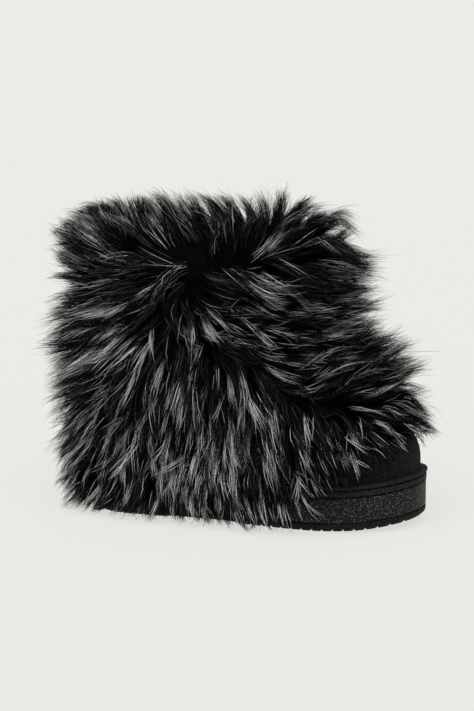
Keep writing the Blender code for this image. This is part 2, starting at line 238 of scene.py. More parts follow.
# %% Light and floor
FLOOR_REACH = 20.0
WORLD_STRENGTH = 0.42
SUN_STRENGTH = 2.1
FILL_STRENGTH = 0.5


def add_sun(name, strength, angle, pitch, heading):
    """A sun of a wide angle. pitch tilts it from straight down, and heading turns the tilt."""
    light = bpy.data.lights.new(name, "SUN")
    light.energy = strength
    light.angle = math.radians(angle)
    sun = bpy.data.objects.new(name, light)
    sun.rotation_euler = (math.radians(pitch), 0.0, math.radians(heading))
    bpy.context.scene.collection.objects.link(sun)
    return sun


world = bpy.data.worlds.new("studio")
world.use_nodes = True
world.node_tree.nodes["Background"].inputs["Color"].default_value = (1.0, 0.992, 0.975, 1.0)
world.node_tree.nodes["Background"].inputs["Strength"].default_value = WORLD_STRENGTH
bpy.context.scene.world = world
bpy.context.scene.view_settings.view_transform = "Standard"
add_sun("soft_box_above", SUN_STRENGTH, 50.0, 32.0, 8.0)
fill = add_sun("fill_from_the_camera", FILL_STRENGTH, 60.0, 40.0, 18.0)
fill.data.use_shadow = False

floor_mesh = bpy.data.meshes.new("studio_floor")
floor_corners = [(x * FLOOR_REACH, y * FLOOR_REACH, 0) for x, y in ((-1, -1), (1, -1), (1, 1), (-1, 1))]
floor_mesh.from_pydata(floor_corners, [], [(0, 1, 2, 3)])
floor = bpy.data.objects.new("studio_floor", floor_mesh)
bpy.context.scene.collection.objects.link(floor)
paper = bpy.data.materials.new("floor_paper")
paper.use_nodes = True
paper_shader = paper.node_tree.nodes["Principled BSDF"]
paper_shader.inputs["Base Color"].default_value = (0.15, 0.149, 0.144, 1.0)
paper_shader.inputs["Emission Color"].default_value = (1.0, 0.9887, 0.9485, 1.0)
paper_shader.inputs["Emission Strength"].default_value = 0.6636
paper_shader.inputs["Roughness"].default_value = 0.95
paper_shader.inputs["Specular IOR Level"].default_value = 0.1
floor_mesh.materials.append(paper)
print("lights:", [light.name for light in bpy.data.lights])

# %% [markdown]
# ## Shared effects
#
# Rubber, suede, felt and fleece all need a fine relief and a colour that change from place to place. A
# shader node group makes both once, and each material sets its own sizes and shades. The relief is round
# lumps with a finer noise on them, and it feeds the Bump node. The colour is patches of two shades. The
# crumb rubber of the platform also has small bright dots of uneven strength, which are light crumbs with
# glints painted on them. Three small helpers add the nodes that come up again and again.


# %% Helpers for node groups
def new_group(name, inputs, outputs):
    """An empty shader node group with named sockets."""
    group = bpy.data.node_groups.new(name, "ShaderNodeTree")
    for socket, kind, value in inputs:
        made = group.interface.new_socket(socket, in_out="INPUT", socket_type=kind)
        made.default_value = value
    for socket, kind in outputs:
        group.interface.new_socket(socket, in_out="OUTPUT", socket_type=kind)
    return group


def combined(tree, operation, first, second):
    """The output of a Math node that joins two others."""
    node = tree.nodes.new("ShaderNodeMath")
    node.operation = operation
    tree.links.new(first, node.inputs[0])
    tree.links.new(second, node.inputs[1])
    return node.outputs[0]


def blended(tree, share, first, second):
    """A colour between two others."""
    node = tree.nodes.new("ShaderNodeMix")
    node.data_type = "RGBA"
    for socket, source in (("Factor", share), ("A", first), ("B", second)):
        tree.links.new(source, node.inputs[socket])
    return node.outputs["Result"]


def texture(tree, kind, place, scale):
    """A texture laid out in the object's own space, at a scale that another node gives."""
    node = tree.nodes.new(kind)
    tree.links.new(place, node.inputs["Vector"])
    tree.links.new(scale, node.inputs["Scale"])
    return node


# %% [markdown]
# The group is put together from three parts: the relief, the shade in patches and the dots of crumb with
# painted glint. All of them are laid out in the object's own space, so the grain has the same size on every
# piece.


# %% The grain group
def relief_height(group, given, place):
    """Round lumps with a finer noise on them."""
    lumps = texture(group, "ShaderNodeTexVoronoi", place, given["Lumps"])
    lumps.feature = "SMOOTH_F1"
    finer = combined(group, "MULTIPLY", given["Lumps"], given["Fineness"])
    fine = texture(group, "ShaderNodeTexNoise", place, finer)
    fine.inputs["Detail"].default_value = 4.0
    return combined(group, "SUBTRACT", fine.outputs["Fac"], lumps.outputs["Distance"])


def patchy_shade(group, given, place):
    """Patches of the dark and the light shade."""
    patches = texture(group, "ShaderNodeTexNoise", place, given["Patches"])
    patches.inputs["Detail"].default_value = 3.0
    stretch = group.nodes.new("ShaderNodeMapRange")
    group.links.new(patches.outputs["Fac"], stretch.inputs["Value"])
    group.links.new(given["Patch Low"], stretch.inputs["From Min"])
    group.links.new(given["Patch High"], stretch.inputs["From Max"])
    return blended(group, stretch.outputs["Result"], given["Dark"], given["Light"])


def crumb_and_glint_dots(group, given, place):
    """A mask of small dots, each of its own strength: light crumbs with painted glints."""
    crumb_and_glint_cells = texture(group, "ShaderNodeTexVoronoi", place, given["Crumb And Glint Dots"])
    dot = group.nodes.new("ShaderNodeMapRange")
    dot.inputs["From Min"].default_value = 0.34
    dot.inputs["From Max"].default_value = 0.16
    group.links.new(crumb_and_glint_cells.outputs["Distance"], dot.inputs["Value"])
    uneven = group.nodes.new("ShaderNodeSeparateColor")
    group.links.new(crumb_and_glint_cells.outputs["Color"], uneven.inputs["Color"])
    shown = combined(group, "MULTIPLY", dot.outputs["Result"], uneven.outputs["Red"])
    return combined(group, "MULTIPLY", shown, given["Crumb And Glint Share"])


def make_grain_group():
    group = new_group(
        "grain",
        (("Lumps", "NodeSocketFloat", 400.0), ("Fineness", "NodeSocketFloat", 3.0),
         ("Patches", "NodeSocketFloat", 30.0), ("Patch Low", "NodeSocketFloat", 0.0),
         ("Patch High", "NodeSocketFloat", 1.0), ("Crumb And Glint Dots", "NodeSocketFloat", 550.0),
         ("Crumb And Glint Share", "NodeSocketFloat", 0.0), ("Dark", "NodeSocketColor", (0.01, 0.01, 0.01, 1.0)),
         ("Light", "NodeSocketColor", (0.02, 0.02, 0.02, 1.0)),
         ("Bright", "NodeSocketColor", (0.2, 0.2, 0.2, 1.0))),
        (("Height", "NodeSocketFloat"), ("Color", "NodeSocketColor")),
    )
    given = group.nodes.new("NodeGroupInput").outputs
    place = group.nodes.new("ShaderNodeTexCoord").outputs["Object"]
    result = group.nodes.new("NodeGroupOutput").inputs
    shade = patchy_shade(group, given, place)
    speckled = blended(group, crumb_and_glint_dots(group, given, place), shade, given["Bright"])
    group.links.new(relief_height(group, given, place), result["Height"])
    group.links.new(speckled, result["Color"])
    return group


GRAIN = make_grain_group()
print("nodes in the grain group:", len(GRAIN.nodes))

# %% [markdown]
# Each finish is then one call: two shades, the sizes of the grain, and how rough and glossy it is. Black
# rubber and black suede differ in the photo by their grain more than by their colour. The suede has a
# soft uneven nap, the platform has light crumbs with painted glints, and the band is smooth with a faint
# texture.


# %% A material from two shades and the grain
def grey(value):
    """A near-black with a trace of blue, as dyed rubber and suede have."""
    return (value, value, value * 1.05, 1.0)


def grained_material(name, dark, light, grain_settings, relief, strength, roughness, gloss):
    """A Principled material that takes its colour and its bump from the grain group."""
    material = bpy.data.materials.new(name)
    material.use_nodes = True
    nodes, links = material.node_tree.nodes, material.node_tree.links
    shader = nodes["Principled BSDF"]
    grain = nodes.new("ShaderNodeGroup")
    grain.node_tree = GRAIN
    grain.inputs["Dark"].default_value = grey(dark)
    grain.inputs["Light"].default_value = grey(light)
    for socket, value in grain_settings.items():
        grain.inputs[socket].default_value = value
    links.new(grain.outputs["Color"], shader.inputs["Base Color"])
    bump = nodes.new("ShaderNodeBump")
    bump.inputs["Distance"].default_value = relief
    bump.inputs["Strength"].default_value = strength
    links.new(grain.outputs["Height"], bump.inputs["Height"])
    links.new(bump.outputs["Normal"], shader.inputs["Normal"])
    shader.inputs["Roughness"].default_value = roughness
    shader.inputs["Specular IOR Level"].default_value = gloss
    return material


rubber_skin = grained_material(
    "black_rubber_skin", 0.006, 0.029,
    {"Lumps": 900.0, "Patches": 800.0, "Patch Low": 0.40, "Patch High": 0.64},
    relief=0.0006, strength=1.0, roughness=0.60, gloss=0.08)
# Painted shade: the tread plate gets a darker copy of the black rubber, for the shade low under the boot.
shaded_tread_skin = grained_material(
    "tread_rubber_painted_shade", 0.005, 0.013,
    {"Lumps": 900.0, "Patches": 300.0, "Patch Low": 0.35, "Patch High": 0.70},
    relief=0.0003, strength=0.6, roughness=0.60, gloss=0.08)
# Painted glint: the platform's bright dots are light crumbs with glints painted into the colour.
crumb_skin = grained_material(
    "crumb_rubber_skin", 0.003, 0.010,
    {"Lumps": 620.0, "Fineness": 2.0, "Patches": 900.0, "Patch Low": 0.40, "Patch High": 0.66,
     "Crumb And Glint Dots": 900.0, "Crumb And Glint Share": 1.0, "Bright": (0.34, 0.34, 0.34, 1.0)},
    relief=0.0011, strength=1.0, roughness=0.50, gloss=0.15)
# Painted shade: a near-black finish for the dashes that stand for the shadow deep in the band's grooves.
groove_shade_skin = grained_material(
    "groove_shade_black", 0.0015, 0.004, {"Lumps": 1600.0, "Patches": 900.0},
    relief=0.0002, strength=0.8, roughness=0.90, gloss=0.02)
suede_nap = grained_material(
    "black_suede_nap", 0.0018, 0.021,
    {"Lumps": 1100.0, "Fineness": 2.0, "Patches": 480.0, "Patch Low": 0.28, "Patch High": 0.76},
    relief=0.0006, strength=0.8, roughness=0.95, gloss=0.03)
felt_nap = grained_material(
    "insole_felt_nap", 0.020, 0.041, {"Lumps": 1100.0, "Fineness": 2.5, "Patches": 160.0},
    relief=0.0005, strength=0.8, roughness=0.95, gloss=0.10)
fleece_nap = grained_material(
    "lining_fleece", 0.012, 0.038,
    {"Lumps": 420.0, "Patches": 130.0, "Patch Low": 0.25, "Patch High": 0.75},
    relief=0.0016, strength=1.0, roughness=0.95, gloss=0.10)
suede_nap.node_tree.nodes["Principled BSDF"].inputs["Sheen Weight"].default_value = 0.04
suede_nap.node_tree.nodes["Principled BSDF"].inputs["Sheen Roughness"].default_value = 0.5
print("materials:", [material.name for material in bpy.data.materials])

# %% [markdown]
# ## The sole
#
# The sole is three rubber pieces: a tread plate, a thick platform of crumb rubber and a stepped band that
# grips the upper. Each is lofted from the outline at a short list of heights, as (height, how far out)
# pairs, four times finer than the CAD solid, so that edges can be rounded.


# %% Loft helpers
def ring_mesh(name, rings, closed=False):
    """A mesh lofted through rings, joined last to first when closed, and capped when not."""
    bm = bmesh.new()
    rows = [[bm.verts.new(point) for point in ring] for ring in rings]
    pairs = list(zip(rows, rows[1:])) + ([(rows[-1], rows[0])] if closed else [])
    for low, high in pairs:
        for index in range(len(low)):
            after = (index + 1) % len(low)
            bm.faces.new((low[index], low[after], high[after], high[index]))
    if not closed:
        for row in (rows[0], rows[-1]):
            cap_across(bm, row)
    bmesh.ops.recalc_face_normals(bm, faces=bm.faces)
    mesh = bpy.data.meshes.new(name)
    bm.to_mesh(mesh)
    bm.free()
    return mesh


def cap_across(bm, ring):
    """Closes a ring with strips across the foot."""
    count = len(ring)
    bm.faces.new((ring[0], ring[1], ring[-1]))
    for index in range(1, count // 2 - 1):
        bm.faces.new((ring[index], ring[index + 1], ring[count - index - 1], ring[count - index]))
    bm.faces.new((ring[count // 2 - 1], ring[count // 2], ring[count // 2 + 1]))


def add_piece(name, mesh, material, slot, *nodes):
    """Puts a piece on the boot's one body, and hides the CAD nodes it stands for."""
    piece = bpy.data.objects.new(name, mesh)
    bpy.context.scene.collection.objects.link(piece)
    if not mesh.materials:
        mesh.materials.append(material)
    mesh.shade_smooth()
    mesh.set_sharp_from_angle(angle=math.radians(40))
    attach(piece, "root")
    if nodes:
        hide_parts(*nodes)
    print(name, "faces:", len(mesh.polygons))
    return piece


# %% [markdown]
# The platform is a deep cup with softly rounded edges. The band on top of it stands about a millimetre
# proud. Its groove is part of the loft, because it shows as a dark line all round the toe.

# %% Platform and welt
Edge = namedtuple("Edge", "height out")
PLATFORM_SIDE = (
    Edge(OUTSOLE_HEIGHT, -0.0012), Edge(OUTSOLE_HEIGHT + 0.0004, -0.0003),
    Edge(OUTSOLE_HEIGHT + 0.0012, 0.0), Edge(0.0130, 0.0), Edge(0.0190, 0.0), Edge(0.0245, 0.0),
    Edge(MIDSOLE_TOP - 0.0010, 0.0), Edge(MIDSOLE_TOP - 0.0003, -0.0003), Edge(MIDSOLE_TOP, -0.0010),
)
platform_rings = [sole_ring(edge.height, edge.out) for edge in PLATFORM_SIDE]
platform_rings += [cup_ring(MIDSOLE_TOP, FIT_GAP), cup_ring(CUP_FLOOR, FIT_GAP)]
platform_mesh = ring_mesh("platform", platform_rings)
add_piece("platform", platform_mesh, crumb_skin, "crumb_rubber", "midsole")

WELT_FOOT = MIDSOLE_TOP + FIT_GAP
WELT_GROOVE = 0.0331
WELT_SIDE = (
    Edge(WELT_FOOT, -0.0008), Edge(WELT_FOOT + 0.0003, 0.0), Edge(WELT_FOOT + 0.0010, 0.0004),
    Edge(0.0316, 0.0005), Edge(0.0322, 0.0003), Edge(0.0327, -0.0006), Edge(WELT_GROOVE, -0.0010),
    Edge(0.0335, -0.0006), Edge(0.0340, 0.0008), Edge(0.0345, 0.0012), Edge(0.0356, 0.0012),
    Edge(0.0363, 0.0010), Edge(0.0368, 0.0004), Edge(WELT_TOP, -0.0004),
)
welt_rings = [cup_ring(WELT_FOOT, FIT_GAP)] + [sole_ring(edge.height, edge.out) for edge in WELT_SIDE]
welt_rings += [cup_ring(WELT_TOP, FIT_GAP)]
welt_mesh = ring_mesh("welt_band", welt_rings, closed=True)
add_piece("welt_band", welt_mesh, rubber_skin, "black_rubber", "welt")

# %% [markdown]
# Short dark dashes run along both grooves of the band. They are painted shade: near-black stubs that lie in
# the groove where it is deeper in shadow. All of them are joined into one mesh, made from the outline of the
# sole.

# %% Painted shade dashes in the grooves of the band
SHADE_DASH_LENGTH, SHADE_DASH_GAP, SHADE_DASH_RADIUS = 0.0036, 0.0022, 0.00055
SHADE_DASH_SIDES = 6
SHADE_DASH_SHAPE = ((-0.50, 0.35), (-0.36, 1.0), (0.36, 1.0), (0.50, 0.35))


def shade_dash_row(ring, first):
    """Middle points and directions of painted shade dashes that follow each other round a ring."""
    closed = np.vstack([ring, ring[:1]])
    run = np.append(0.0, np.cumsum(np.linalg.norm(np.diff(closed, axis=0), axis=1)))
    places = np.arange(first, run[-1] - SHADE_DASH_LENGTH, SHADE_DASH_LENGTH + SHADE_DASH_GAP)
    middles = np.stack([np.interp(places, run, closed[:, axis]) for axis in range(3)], axis=1)
    ahead = np.stack([np.interp(places + 0.001, run, closed[:, axis]) for axis in range(3)], axis=1)
    return middles, (ahead - middles) / np.linalg.norm(ahead - middles, axis=1, keepdims=True)


def shade_dash_mesh(name, rows):
    """One mesh of near-black stubs with rounded ends, painted shade in the grooves."""
    angles = np.arange(SHADE_DASH_SIDES) * 2 * np.pi / SHADE_DASH_SIDES
    bm = bmesh.new()
    for middles, directions in rows:
        for middle, along in zip(middles, directions):
            out = np.cross(along, (0.0, 0.0, 1.0))
            out /= np.linalg.norm(out)
            up = np.cross(out, along)
            loops = []
            for place, width in SHADE_DASH_SHAPE:
                spokes = np.outer(np.cos(angles), out) + np.outer(np.sin(angles), up)
                points = middle + along * place * SHADE_DASH_LENGTH + spokes * width * SHADE_DASH_RADIUS
                loops.append([bm.verts.new(point) for point in points])
            for low, high in zip(loops, loops[1:]):
                for index in range(SHADE_DASH_SIDES):
                    after = (index + 1) % SHADE_DASH_SIDES
                    bm.faces.new((low[index], low[after], high[after], high[index]))
            bm.faces.new(loops[0][::-1])
            bm.faces.new(loops[-1])
    bmesh.ops.recalc_face_normals(bm, faces=bm.faces)
    mesh = bpy.data.meshes.new(name)
    bm.to_mesh(mesh)
    bm.free()
    return mesh


# Painted shade: near-black dashes along the groove of the band and along its foot.
upper_row = shade_dash_row(sole_ring(WELT_GROOVE, -0.0005), 0.0010)
lower_row = shade_dash_row(sole_ring(WELT_FOOT - 0.0001, -0.0001), 0.0030)
groove_shade_mesh = shade_dash_mesh("welt_groove_shade_dashes", (upper_row, lower_row))
add_piece("welt_groove_shade_dashes", groove_shade_mesh, groove_shade_skin, "black_rubber", "welt")
print("groove_shade_dashes:", len(upper_row[0]) + len(lower_row[0]))

# %% [markdown]
# The tread plate is lofted like the platform, with a low arch under the waist of the foot. Its lugs are
# what is left between straight grooves, so the grooves are cut away as bars in one boolean.

# %% Tread plate with its lugs
ARCH_RISE, ARCH_START, ARCH_END = 0.0024, 0.030, 0.098
GROOVE_WIDTH, GROOVE_DEPTH = 0.0026, 0.0034
HEEL_GROOVES = [0.0090 * (index - 2.5) for index in range(6)]
FOREFOOT_GROOVES = [0.1078 + 0.0085 * index for index in range(15)]
TREAD_SIDE = (Edge(0.0, -0.0035), Edge(0.0005, -0.0020), Edge(0.0018, -0.0006), Edge(0.0035, 0.0),
              Edge(0.0058, 0.0), Edge(OUTSOLE_HEIGHT - FIT_GAP, -0.0006))


def with_arch(ring):
    """The tread lifted off the floor in the waist of the sole."""
    lifted = ring.copy()
    share = np.clip((ring[:, 0] - ARCH_START) / (ARCH_END - ARCH_START), 0.0, 1.0)
    lifted[:, 2] += ARCH_RISE * np.sin(np.pi * share)
    return lifted


def groove_bars():
    """One bar for each groove across the tread, as one mesh that is cut away."""
    bm = bmesh.new()
    for x in HEEL_GROOVES + FOREFOOT_GROOVES:
        top = GROOVE_DEPTH + float(toe_spring(x))
        bar = bmesh.ops.create_cube(bm, size=1.0)["verts"]
        bmesh.ops.scale(bm, verts=bar, vec=(GROOVE_WIDTH, SOLE_LENGTH, top + GROOVE_DEPTH))
        bmesh.ops.translate(bm, verts=bar, vec=(x, 0.0, (top - GROOVE_DEPTH) / 2))
    mesh = bpy.data.meshes.new("groove_bars")
    bm.to_mesh(mesh)
    bm.free()
    return bpy.data.objects.new("groove_bars", mesh)


def applied(obj):
    """The object's mesh with its modifiers applied, as a new mesh."""
    seen = obj.evaluated_get(bpy.context.evaluated_depsgraph_get())
    return bpy.data.meshes.new_from_object(seen)


tread_rings = [sole_ring(edge.height, edge.out) for edge in TREAD_SIDE]
tread_rings[:2] = [with_arch(ring) for ring in tread_rings[:2]]
blank = bpy.data.objects.new("tread_blank", ring_mesh("tread_blank", tread_rings))
bars = groove_bars()
for helper in (blank, bars):
    bpy.context.scene.collection.objects.link(helper)
cut = blank.modifiers.new("grooves", "BOOLEAN")
cut.operation = "DIFFERENCE"
cut.solver = "EXACT"
cut.object = bars
tread_mesh = applied(blank)
for helper in (blank, bars):
    bpy.data.objects.remove(helper)
add_piece("tread_plate", tread_mesh, shaded_tread_skin, "black_rubber", "outsole")

# %% [markdown]
# ## Upper, lining and insole
#
# The upper is one suede shell. Suede over a soft toe is never quite even, so a few listed troughs bend
# the form: across the toes where the foot flexes, and down beside the toe cap. A bump could fake them, but
# real troughs also show at the edge of the form.

# %% Creases of the suede
Crease = namedtuple("Crease", "x height length width depth lean")
CREASES = (
    Crease(0.205, 0.066, 0.040, 0.0045, 0.0011, 0.10),
    Crease(0.190, 0.072, 0.050, 0.0050, 0.0015, -0.08),
    Crease(0.176, 0.060, 0.030, 0.0045, 0.0010, 0.25),
    Crease(0.150, 0.088, 0.060, 0.0070, 0.0018, 0.00),
    Crease(0.118, 0.118, 0.050, 0.0080, 0.0022, 0.10),
    Crease(0.020, 0.110, 0.050, 0.0080, 0.0018, -0.10),
)
TOE_DENT = Crease(0.200, 0.052, 0.022, 0.0110, 0.0009, 0.40)


def crease_depth(points):
    """How far the suede is pressed in, with a low ridge beside each trough."""
    depth = np.zeros(points.shape[:-1])
    for crease in CREASES + (TOE_DENT,):
        across = points[..., 0] - crease.x - crease.lean * (points[..., 2] - crease.height)
        near = (across / crease.width) ** 2
        reach = np.exp(-((points[..., 2] - crease.height) / crease.length) ** 2 * 2)
        depth += crease.depth * reach * (1.25 * np.exp(-near) - 0.25 * np.exp(-near / 6))
    return depth


print("deepest crease in mm:", round(max(crease.depth for crease in CREASES) * 1000, 1))

# %% [markdown]
# The shell is lofted ring by ring, up the outside and down the inside. Its inner faces carry the fleece
# lining. The insole is a felt pad that lies on the floor of the cup.

# %% The suede shell
UPPER_ROWS = 84
UPPER_POINTS = 184
EDGE_DROP = 0.0004


def shell_rows(heights, inset):
    """Rings of the upper, moved in by inset and pressed in by the creases above the band."""
    rows = []
    for height in heights:
        ring = boot_point(UPPER_LEVELS, turns(UPPER_POINTS), height)
        standing = smooth_step(WELT_TOP, WELT_TOP + 0.008, ring[:, 2])
        press = crease_depth(ring) * standing
        rows.append(grown(ring, -inset) + (grown(ring, -1.0) - ring) * press[:, None])
    return rows


upper_heights = np.linspace(UPPER_LEVELS[0].height, COLLAR_HEIGHT, UPPER_ROWS)
outer_rows = shell_rows(upper_heights, 0.0)
inner_rows = shell_rows(upper_heights, UPPER_WALL)
for row in (outer_rows[-1], inner_rows[-1]):
    row[:, 2] -= EDGE_DROP
shell_mesh = ring_mesh("suede_upper", outer_rows + inner_rows[::-1], closed=True)
shell_mesh.materials.append(suede_nap)
shell_mesh.materials.append(fleece_nap)
first_inner = UPPER_ROWS * UPPER_POINTS
for face in shell_mesh.polygons:
    if min(face.vertices) >= first_inner:
        face.material_index = 1
add_piece("suede_upper", shell_mesh, suede_nap, "black_suede", "upper")

# %% The insole
INSIDE = -(UPPER_WALL + 0.0008)
INSOLE_FOOT = CUP_FLOOR + FIT_GAP
INSOLE_SIDE = (Edge(INSOLE_FOOT, INSIDE), Edge(INSOLE_FOOT + 0.0033, INSIDE),
               Edge(INSOLE_FOOT + 0.0041, INSIDE - 0.0004), Edge(INSOLE_FOOT + 0.0045, INSIDE - 0.0014))
insole_rings = [cup_ring(edge.height, edge.out) for edge in INSOLE_SIDE]
insole_mesh = ring_mesh("insole_pad", insole_rings)
add_piece("insole_pad", insole_mesh, felt_nap, "insole_felt", "insole")

# %% [markdown]
# ## How the fur lies
#
# Long fur is brushed, and the photo shows its flow well. From a whorl under the collar it stands up to
# the left and right above, and fans out to heel and toe below. On the instep it lies forward, and from
# a second parting under that it hangs to the floor. A small chart gives the flow as angles seen from the
# side, in degrees, with 0 to the toe, 90 up, 180 to the heel and 270 down. Each row is a height and each
# column a distance along the boot. Both sides of the boot use it. Directions between the charted
# places are blended as vectors, so that no jump shows.

# %% The comb chart
COMB_PLACES = np.array([-0.060, -0.030, 0.0, 0.030, 0.060, 0.090, 0.120, 0.150, 0.180, 0.210, 0.240])
Comb = namedtuple("Comb", "height directions")
COMB_CHART = (
    Comb(0.015, (250, 248, 250, 276, 292, 298, 300, 300, 312, 320, 322)),
    Comb(0.045, (240, 252, 258, 272, 278, 284, 292, 294, 308, 316, 324)),
    Comb(0.075, (228, 248, 260, 272, 274, 282, 290, 293, 304, 314, 320)),
    Comb(0.095, (214, 216, 248, 274, 280, 286, 292, 293, 298, 318, 332)),
    Comb(0.110, (215, 214, 236, 268, 276, 278, 292, 298, 368, 372, 372)),
    Comb(0.125, (214, 216, 232, 258, 266, 286, 314, 374, 386, 376, 372)),
    Comb(0.150, (208, 206, 222, 238, 276, 334, 350, 368, 376, 364, 364)),
    Comb(0.175, (198, 194, 206, 216, 330, 350, 352, 372, 380, 382, 380)),
    Comb(0.197, (170, 158, 188, 205, 226, 350, 334, 352, 362, 365, 365)),
    Comb(0.207, (156, 146, 178, 192, 196, 338, 326, 340, 368, 370, 370)),
    Comb(0.214, (148, 143, 165, 174, 156, 112, 345, 338, 374, 374, 374)),
    Comb(0.222, (144, 140, 150, 150, 144, 98, 390, 384, 384, 384, 384)),
    Comb(0.232, (142, 138, 137, 138, 134, 98, 390, 394, 390, 390, 390)),
    Comb(0.244, (136, 134, 132, 130, 126, 98, 392, 396, 396, 394, 394)),
)


def combed(points):
    """Directions in which the hair is brushed at any points, seen from the side."""
    chart = np.radians(np.array([row.directions for row in COMB_CHART], float))
    heights = np.array([row.height for row in COMB_CHART])
    column = np.interp(points[:, 0], COMB_PLACES, np.arange(len(COMB_PLACES)))
    row = np.interp(points[:, 2], heights, np.arange(len(heights)))
    left, low = np.floor(column).astype(int), np.floor(row).astype(int)
    after, above = np.minimum(left + 1, len(COMB_PLACES) - 1), np.minimum(low + 1, len(heights) - 1)
    across, up = column - left, row - low
    corners = ((low, left, (1 - up) * (1 - across)), (low, after, (1 - up) * across),
               (above, left, up * (1 - across)), (above, after, up * across))
    level = sum(weight * np.cos(chart[r, c]) for r, c, weight in corners)
    rise = sum(weight * np.sin(chart[r, c]) for r, c, weight in corners)
    return np.stack([level, np.zeros_like(level), rise], axis=-1)


print("comb chart:", len(COMB_CHART), "heights by", len(COMB_PLACES), "places")

# %% [markdown]
# ## The skin of the pelt
#
# Every hair needs a root and the direction that is square to the skin there. A place on the skin is a
# turn round the boot and a share of the way up. From share 0 at the hem to 1 at the collar it follows
# the outside of the boot, and beyond 1 it rolls over the collar's edge, as the pelt of such a boot does.

# %% Places on the skin
HEM_HEIGHT = 0.0130
TOE_HEM_HEIGHT = 0.068
HEM_RISE = (0.47, 0.97)
CROWN_SPAN = 0.16
CROWN_ARC = math.radians(118.0)


def hem_height(turn):
    along = (1 + np.cos(turn)) / 2
    return HEM_HEIGHT + (TOE_HEM_HEIGHT - HEM_HEIGHT) * smooth_step(*HEM_RISE, along)


def skin_point(turn, share):
    hem = hem_height(turn)
    return boot_point(FUR_LEVELS, turn, hem + (COLLAR_HEIGHT - hem) * share)


def outward(turn, share):
    """Directions square to the outside of the boot."""
    little_turn, little_share = 0.02, 0.01
    low, high = np.maximum(share - little_share, 0.0), np.minimum(share + little_share, 1.0)
    round_boot = skin_point(turn + little_turn, share) - skin_point(turn - little_turn, share)
    up = skin_point(turn, high) - skin_point(turn, low)
    out = np.cross(round_boot, up)
    return out / np.linalg.norm(out, axis=-1, keepdims=True)


def pelt_place(turn, share, depth, crown_rise):
    """Points at a depth over the skin, and the directions out of the pelt there."""
    turn, share, depth = np.broadcast_arrays(turn, share, depth)
    low = np.minimum(share, 1.0)
    out = outward(turn, low)
    over = (np.clip((share - 1.0) / CROWN_SPAN, 0.0, 1.0) * CROWN_ARC)[..., None]
    half = (depth[..., None] + UPPER_WALL) / 2
    up = np.array([0.0, 0.0, 1.0])
    point = skin_point(turn, low) + out * (depth[..., None] - half + half * np.cos(over))
    point = point + up * crown_rise * np.sin(over)
    heading = out * np.cos(over) + up * np.sin(over)
    return point, heading / np.linalg.norm(heading, axis=-1, keepdims=True)


print("hem in mm, heel and toe:", round(HEM_HEIGHT * 1000, 1), round(TOE_HEM_HEIGHT * 1000, 1))

# %% [markdown]
# The pelt isn't equally long all over. It is trimmed short along the hem, most of all at the heel and the
# toe, and left long on the instep, the front of the shaft and the calf, which gives the boot its round
# outline in the photo.


# %% Length of the fur from place to place
def fullness(turn, share):
    """The length of the hair against the shaft's. It is shorter at the hem, the heel and the toe."""
    front = smooth_step(0.2, 0.9, np.cos(turn))
    heel = smooth_step(0.2, 0.9, -np.cos(turn))
    hem = 1 - smooth_step(0.0, 0.30, share)
    toe = smooth_step(0.50, 1.0, np.cos(turn)) * hem
    brow = front * smooth_step(0.46, 0.58, share) * (1 - smooth_step(0.78, 0.90, share))
    vamp = front * smooth_step(0.06, 0.16, share) * (1 - smooth_step(0.26, 0.44, share))
    crown = smooth_step(0.94, 1.03, share)
    back = smooth_step(0.2, 0.8, -np.cos(turn)) * smooth_step(0.50, 0.62, share)
    back = back * (1 - smooth_step(0.74, 0.86, share))
    length = 1 - 0.11 * heel - 0.25 * toe + 0.20 * vamp + 0.12 * brow + 0.14 * back
    length = length * (1 - 0.30 * hem * (1 + 0.3 * heel))
    return length * (1 - crown * (0.05 - 0.12 * front - 0.12 * heel))


instep_length = float(fullness(0.0, 0.11))
print("hair on the instep against the shaft:", round(instep_length, 2))


# %% [markdown]
# ## The pelt under the hairs
#
# Below the long hairs lies a dense, dark underfur that the eye never sees through. It could be made of
# many more hairs, but a lumpy black form at half the fur's depth does the same for far fewer faces. It
# also keeps the body of the CAD fur cover, which it stands for.

# %% Underfur body
PELT_POINTS, PELT_ROWS, CROWN_ROWS = 176, 46, 12
PELT_DEPTH = 0.0165
PELT_GAP = 0.0006
PELT_OFF_FLOOR = 0.0030
UNDERFUR_CROWN_RISE = 0.021


def lumps(points, scale, seed):
    """A smooth uneven value from about -1 to 1, from a few sine waves that cross."""
    waves = np.random.default_rng(seed)
    total = np.zeros(points.shape[:-1])
    for _ in range(7):
        direction = waves.normal(size=3)
        total += np.sin(points @ (direction * scale) + waves.uniform(0, 6.28))
    return total / 4


def underfur_rings():
    rolled = 1 + CROWN_SPAN * np.arange(1, CROWN_ROWS + 1) / CROWN_ROWS
    shares = np.append(np.linspace(0.0, 1.0, PELT_ROWS), rolled)
    around = turns(PELT_POINTS)
    outer = []
    for share in shares:
        place = skin_point(around, np.full(PELT_POINTS, min(share, 1.0)))
        thin_at_hem = 0.35 + 0.65 * smooth_step(0.0, 0.12, share)
        depth = PELT_DEPTH * fullness(around, min(share, 0.96)) * thin_at_hem
        depth = depth * (1 + 0.22 * lumps(place, 260.0, 5) + 0.10 * lumps(place, 620.0, 6))
        ring = pelt_place(around, np.full(PELT_POINTS, share), depth, UNDERFUR_CROWN_RISE)[0]
        ring[:, 2] = np.maximum(ring[:, 2], PELT_OFF_FLOOR)
        outer.append(ring)
    inner = [pelt_place(around, np.full(PELT_POINTS, share), PELT_GAP, 0.0)[0]
             for share in shares[:PELT_ROWS]]
    return outer + inner[::-1]


